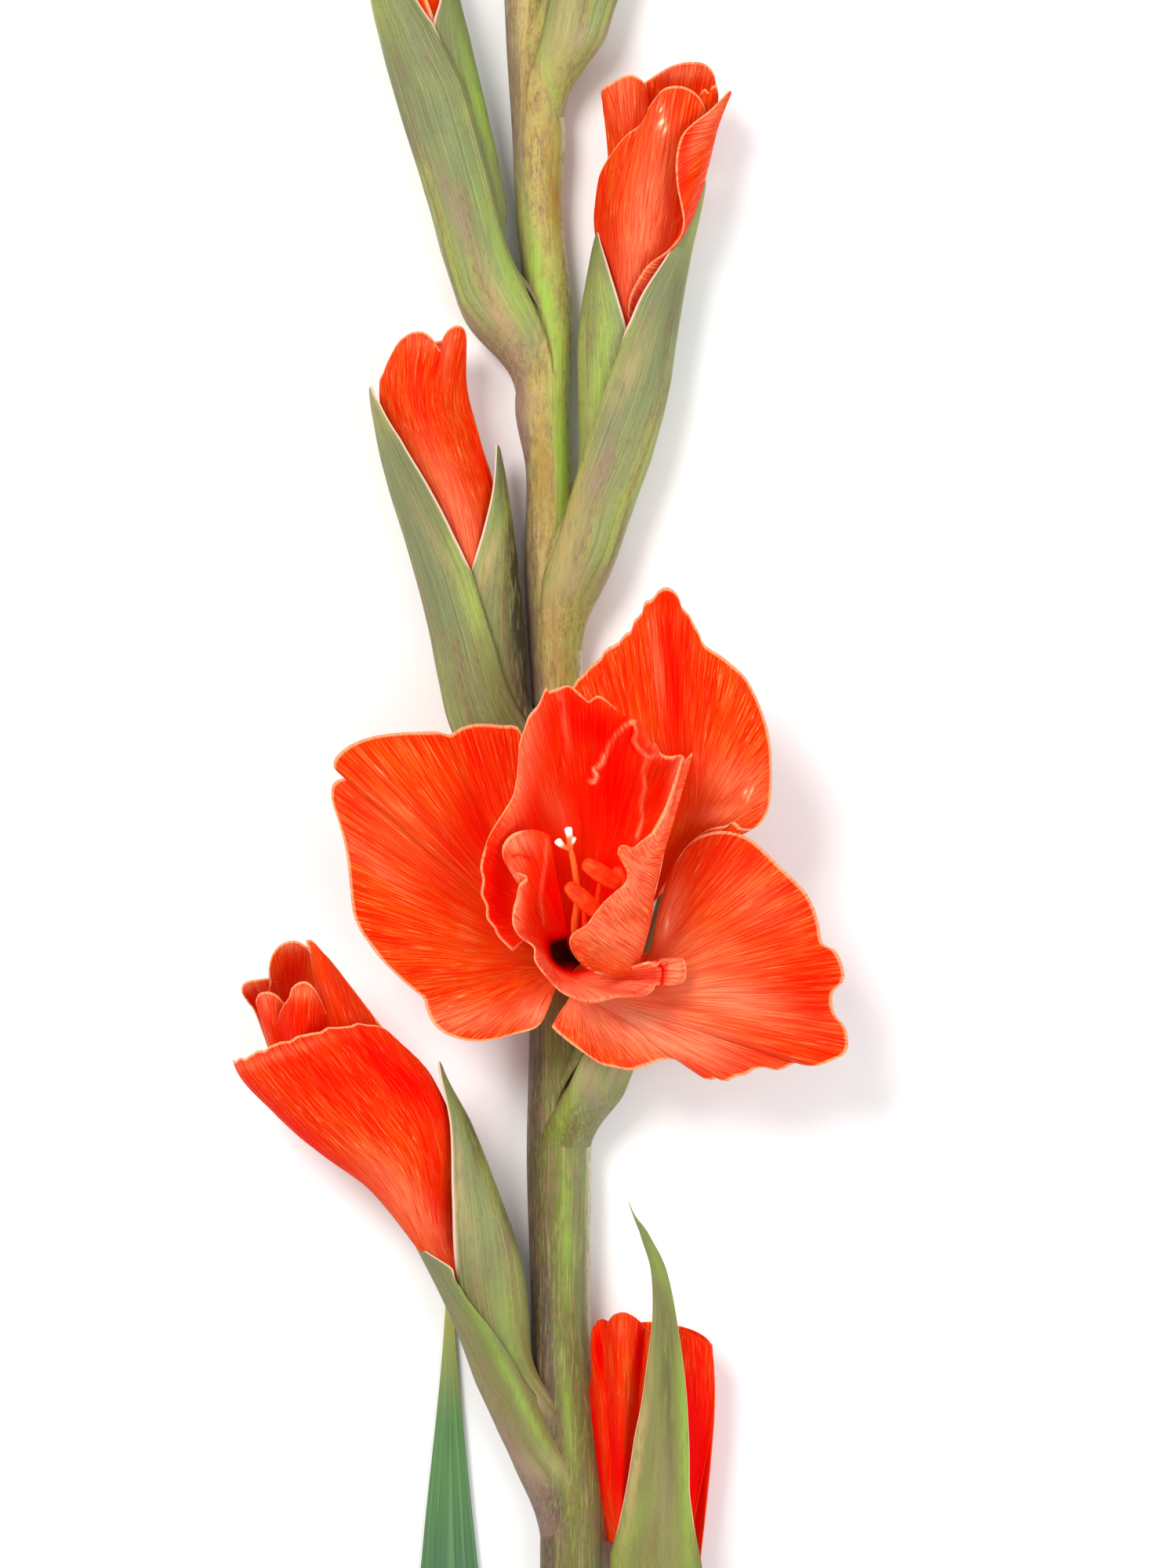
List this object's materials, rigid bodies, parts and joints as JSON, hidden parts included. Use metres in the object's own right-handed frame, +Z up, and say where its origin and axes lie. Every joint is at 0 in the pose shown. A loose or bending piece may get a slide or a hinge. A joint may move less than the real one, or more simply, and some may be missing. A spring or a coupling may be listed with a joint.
{
  "type": "cut gladiolus stem",
  "caption": "Cut gladiolus stem lying on its back: sword leaves, green sheathing bracts, red-orange buds and one open ruffled bloom.",
  "frame": {"origin": "on the surface under the middle of the lying stem's bounding box", "axes": "+Y runs along the stem to the tip of the spike, +Z points up from the surface, out of the open bloom"},
  "size_m": [0.1152, 0.897, 0.0565],
  "materials": {
    "stem": "satin",
    "leaf": "satin",
    "bract": "satin",
    "young_bract": "satin",
    "petal": "satin",
    "inner_petal": "satin",
    "stamen": "matte",
    "style": "satin"
  },
  "bodies": {
    "root": {"stem": "stem", "leaf_1": "leaf", "leaf_2": "leaf", "leaf_3": "leaf", "floret_0_outer_bract": "bract", "floret_0_inner_bract": "bract", "floret_0_outer_petals": "petal", "floret_1_outer_bract": "bract", "floret_1_inner_bract": "bract", "floret_1_outer_petals": "petal", "floret_1_inner_petals": "petal", "floret_2_outer_bract": "bract", "floret_2_inner_bract": "bract", "floret_3_outer_bract": "bract", "floret_3_inner_bract": "bract", "floret_3_outer_petals": "petal", "floret_4_outer_bract": "bract", "floret_4_inner_bract": "bract", "floret_4_outer_petals": "petal", "floret_4_inner_petals": "petal", "floret_5_outer_bract": "bract", "floret_5_inner_bract": "bract", "floret_5_outer_petals": "petal", "floret_6_outer_bract": "bract", "floret_6_inner_bract": "bract", "floret_7_outer_bract": "young_bract", "floret_7_inner_bract": "young_bract", "floret_8_outer_bract": "young_bract", "floret_8_inner_bract": "young_bract", "floret_9_outer_bract": "young_bract", "floret_9_inner_bract": "young_bract", "floret_10_outer_bract": "young_bract", "floret_10_inner_bract": "young_bract", "floret_11_outer_bract": "young_bract", "floret_11_inner_bract": "young_bract", "floret_12_outer_bract": "young_bract", "floret_12_inner_bract": "young_bract", "floret_13_outer_bract": "young_bract", "floret_13_inner_bract": "young_bract", "floret_14_outer_bract": "young_bract", "floret_14_inner_bract": "young_bract", "floret_2_outer_petals": "petal", "floret_2_hood_petal": "inner_petal", "floret_2_lip_petal": "inner_petal", "floret_2_side_petal": "petal", "floret_2_stamen_1": "stamen", "floret_2_stamen_2": "stamen", "floret_2_stamen_3": "stamen", "floret_2_style": "style"}
  },
  "joints": []
}
